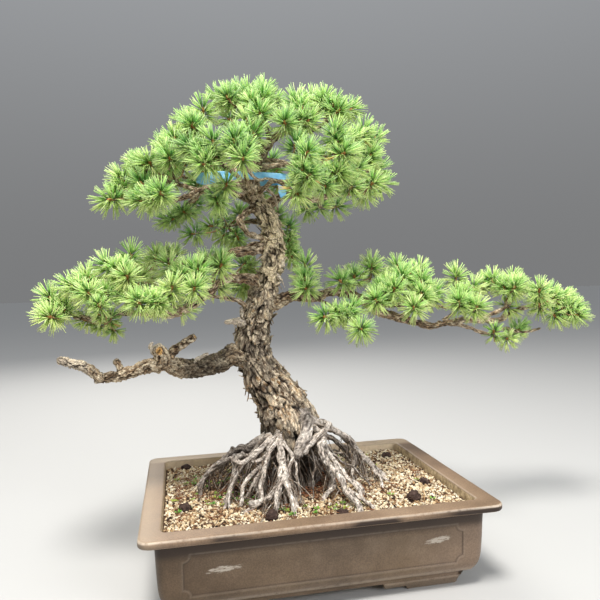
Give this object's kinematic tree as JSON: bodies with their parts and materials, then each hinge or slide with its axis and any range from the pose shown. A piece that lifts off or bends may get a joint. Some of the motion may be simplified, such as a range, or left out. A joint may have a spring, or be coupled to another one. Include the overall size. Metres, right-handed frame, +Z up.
{
  "type": "japanese white pine bonsai in a pot",
  "caption": "Japanese white pine bonsai: leaning trunk on spread surface roots, needle pads to left, right and crown, in a shallow rectangular pot on stepped feet, filled with grit.",
  "frame": {"origin": "Middle of the whole footprint, tree and pot together, on the surface that the pot's feet stand on", "axes": "+X to the right along the pot's length as the picture shows its front, towards the long right branch; +Y from the front of the pot to its back; +Z up"},
  "size_m": [0.8624, 0.3558, 0.721],
  "materials": {
    "stoneware": "unglazed brown stoneware, satin, worn rim",
    "grit": "rough fired clay grit",
    "bark": "rough flaking bark",
    "needle": "living pine needle, satin",
    "feed": "rough dark crumb",
    "strap": "smooth pale blue plastic",
    "screen": "black plastic mesh"
  },
  "bodies": {
    "root": {"pot": "stoneware", "drain_screen_left": "screen", "drain_screen_right": "screen", "soil": "grit", "tree": "bark", "label_strap": "strap", "feed_lump_1": "feed", "feed_lump_2": "feed", "feed_lump_3": "feed", "feed_lump_4": "feed", "feed_lump_5": "feed", "feed_lump_6": "feed", "feed_lump_7": "feed", "needles_crown_left_tip": "needle", "needles_crown_left_front": "needle", "needles_crown_left_side": "needle", "needles_crown_left_upper": "needle", "needles_crown_left_shoulder": "needle", "needles_crown_top_left": "needle", "needles_crown_front_left": "needle", "needles_crown_front_middle": "needle", "needles_crown_front_low": "needle", "needles_crown_left_under": "needle", "needles_crown_behind_loop": "needle", "needles_crown_top_middle": "needle", "needles_crown_top_front": "needle", "needles_crown_top_right": "needle", "needles_crown_right_upper": "needle", "needles_crown_right_side": "needle", "needles_crown_front_right": "needle", "needles_crown_right_middle": "needle", "needles_crown_right_low": "needle", "needles_crown_right_under": "needle", "needles_crown_behind_trunk": "needle", "needles_crown_back_left": "needle", "needles_crown_back_middle": "needle", "needles_crown_back_right": "needle", "needles_crown_right_back": "needle", "needles_crown_top_back": "needle", "needles_left_tip": "needle", "needles_left_outer": "needle", "needles_left_outer_low": "needle", "needles_left_top": "needle", "needles_left_front": "needle", "needles_left_inner": "needle", "needles_left_near_trunk": "needle", "needles_left_back": "needle", "needles_left_behind": "needle", "needles_left_back_outer": "needle", "needles_right_near": "needle", "needles_right_stalk": "needle", "needles_right_hanging": "needle", "needles_right_middle": "needle", "needles_right_top": "needle", "needles_right_middle_front": "needle", "needles_right_far": "needle", "needles_right_outer_top": "needle", "needles_right_tip": "needle", "needles_right_under": "needle", "needles_right_back": "needle"}
  },
  "joints": []
}
